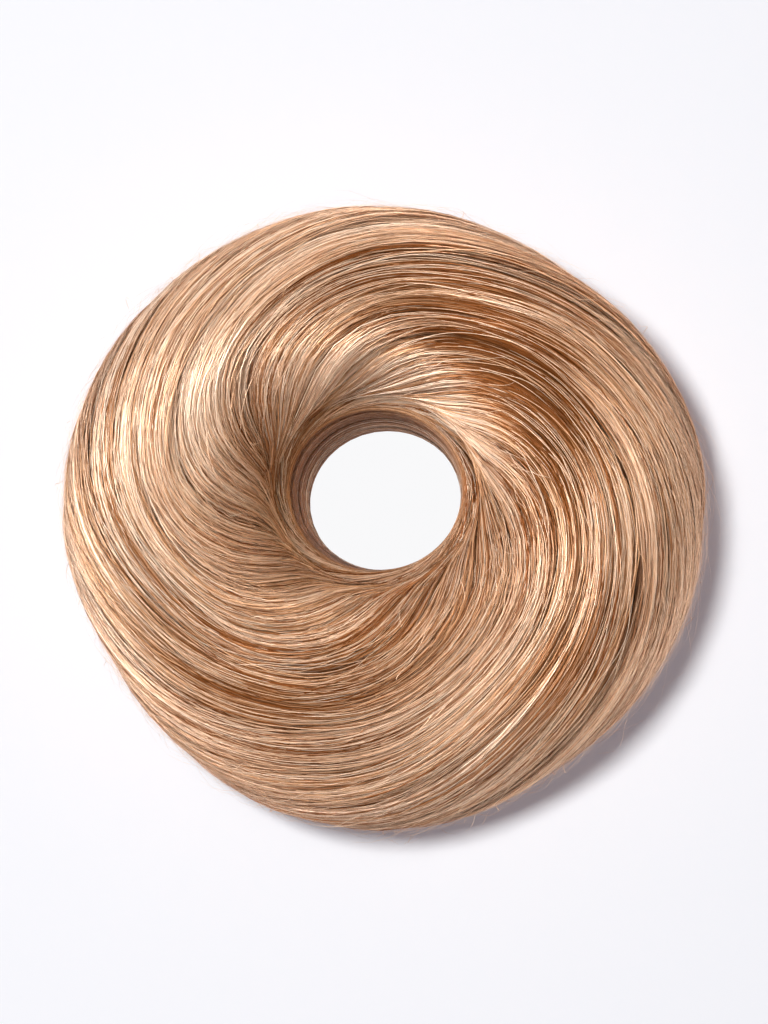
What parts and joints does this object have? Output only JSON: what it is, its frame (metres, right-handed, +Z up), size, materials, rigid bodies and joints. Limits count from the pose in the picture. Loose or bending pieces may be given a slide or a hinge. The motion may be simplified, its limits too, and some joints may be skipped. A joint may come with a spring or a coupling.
{
  "type": "top knot hairpiece",
  "caption": "Round false hair bun: blonde locks swirl from a wound collar over a bed of hair, with an open hole for a ponytail.",
  "frame": {"origin": "bottom centre of the ring's bounding box, on the surface that the ring rests on", "axes": "+Z up out of the hole, which is the shortest side; +X to the right and +Y to the top of the picture"},
  "size_m": [0.1204, 0.1168, 0.0424],
  "materials": {
    "light_hair": "soft sheen",
    "mid_hair": "soft sheen",
    "deep_hair": "soft sheen",
    "bed_hair": "matte",
    "wound_hair": "soft sheen"
  },
  "bodies": {
    "root": {"hair_bed": "bed_hair", "collar_wall": "wound_hair", "collar_lip": "mid_hair", "swirl_lock_01": "mid_hair", "swirl_lock_02": "light_hair", "swirl_lock_03": "mid_hair", "swirl_lock_04": "deep_hair", "swirl_lock_05": "mid_hair", "swirl_lock_06": "light_hair", "swirl_lock_07": "mid_hair", "swirl_lock_08": "deep_hair", "swirl_lock_09": "light_hair", "swirl_lock_10": "light_hair", "swirl_lock_11": "mid_hair", "swirl_lock_12": "deep_hair", "swirl_lock_13": "mid_hair"}
  },
  "joints": []
}
